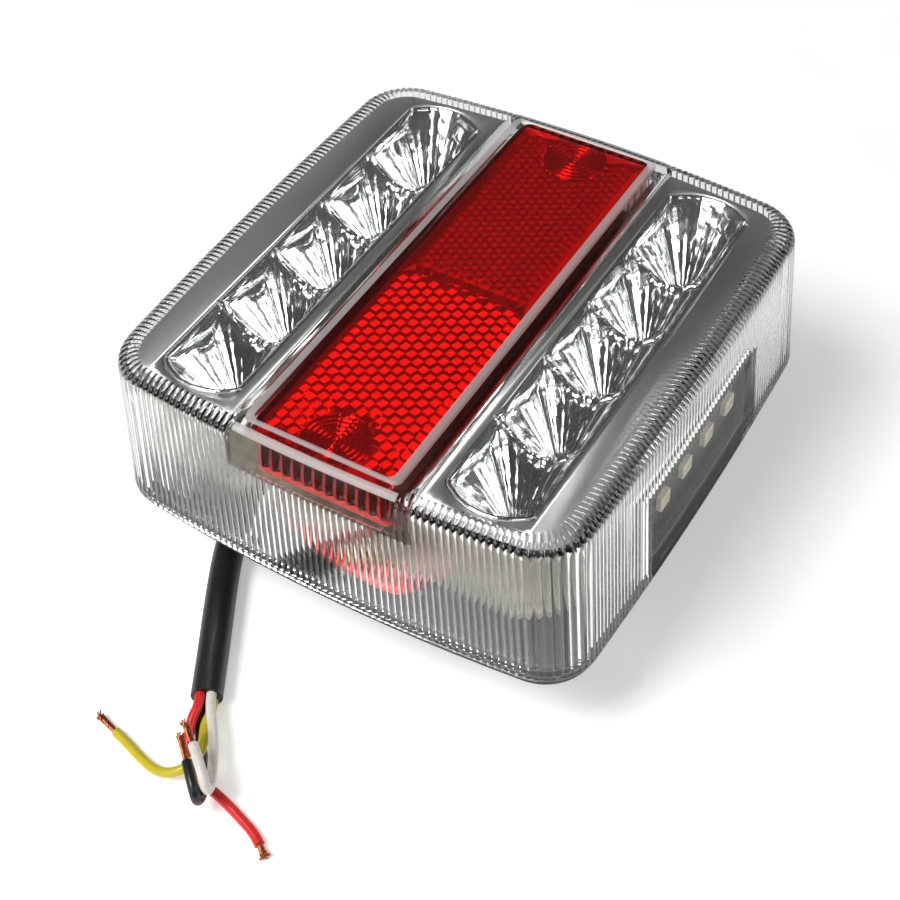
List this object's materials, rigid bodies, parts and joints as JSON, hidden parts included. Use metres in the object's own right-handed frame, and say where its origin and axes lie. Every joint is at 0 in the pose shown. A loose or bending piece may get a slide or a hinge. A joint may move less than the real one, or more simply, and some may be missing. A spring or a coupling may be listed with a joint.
{
  "type": "trailer tail light",
  "caption": "Square clear-lens LED rear lamp with twin reflector banks, a red reflex strip, a side number-plate light, rear studs and a short stripped cable.",
  "frame": {"origin": "centre of the back plate's mounting face, midway between the two studs", "axes": "+Z out of the lens away from the vehicle, +X along the red reflector strip and the stud line, -Y towards the side with the number-plate light"},
  "size_m": [0.1462, 0.101, 0.0536],
  "materials": {
    "clear_lens": "clear moulded polycarbonate, glossy",
    "black_plastic": "moulded, fine grain",
    "sealant": "cured bead",
    "red_lens": "transparent red, prismatic underside",
    "red_backing": "moulded",
    "metallised": "vacuum metallised, faceted",
    "led_clear": "clear epoxy",
    "circuit_board": "solder resist",
    "zinc_steel": "zinc plated",
    "chip_black": "moulded epoxy",
    "can_aluminium": "drawn can",
    "board_black": "black solder resist",
    "led_phosphor": "phosphor in a pale frame",
    "copper": "stripped strands",
    "rubber_black": "moulded",
    "nylon": "moulded",
    "solder": "bright",
    "sheath_black": "extruded PVC",
    "core_yellow": "extruded PVC",
    "core_red": "extruded PVC",
    "core_black": "extruded PVC",
    "core_white": "extruded PVC"
  },
  "bodies": {
    "lamp": {"back_plate": "black_plastic", "board_screws": "zinc_steel", "cable_grommet": "rubber_black", "cable_sheath": "sheath_black", "cable_tie": "nylon", "capacitor": "can_aluminium", "copper_black": "copper", "copper_red": "copper", "copper_white": "copper", "copper_yellow": "copper", "diodes": "chip_black", "indicator_leds": "led_clear", "indicator_reflector": "metallised", "inner_lead_black": "core_black", "inner_lead_red": "core_red", "inner_lead_white": "core_white", "inner_lead_yellow": "core_yellow", "inner_sheath": "sheath_black", "led_board": "circuit_board", "mounting_studs": "zinc_steel", "outer_lens": "clear_lens", "plate_board_leads": "copper", "plate_leds": "led_phosphor", "plate_light_board": "board_black", "red_reflector": "red_lens", "reflector_backing": "red_backing", "resistors": "chip_black", "rim_seal": "sealant", "solder_joints": "solder", "stop_tail_leds": "led_clear", "stop_tail_reflector": "metallised", "wire_black": "core_black", "wire_red": "core_red", "wire_white": "core_white", "wire_yellow": "core_yellow"},
    "nut_set_left": {"flat_washer_left": "zinc_steel", "spring_washer_left": "zinc_steel", "nut_left": "zinc_steel"},
    "nut_set_right": {"flat_washer_right": "zinc_steel", "spring_washer_right": "zinc_steel", "nut_right": "zinc_steel"}
  },
  "joints": [
    {"name": "nut_travel_left", "type": "slide", "parent": "lamp", "child": "nut_set_left", "axis": [0, 0, -1], "range_m": [-0.0024, 0.007]},
    {"name": "nut_travel_right", "type": "slide", "parent": "lamp", "child": "nut_set_right", "axis": [0, 0, -1], "range_m": [-0.0024, 0.007]}
  ]
}
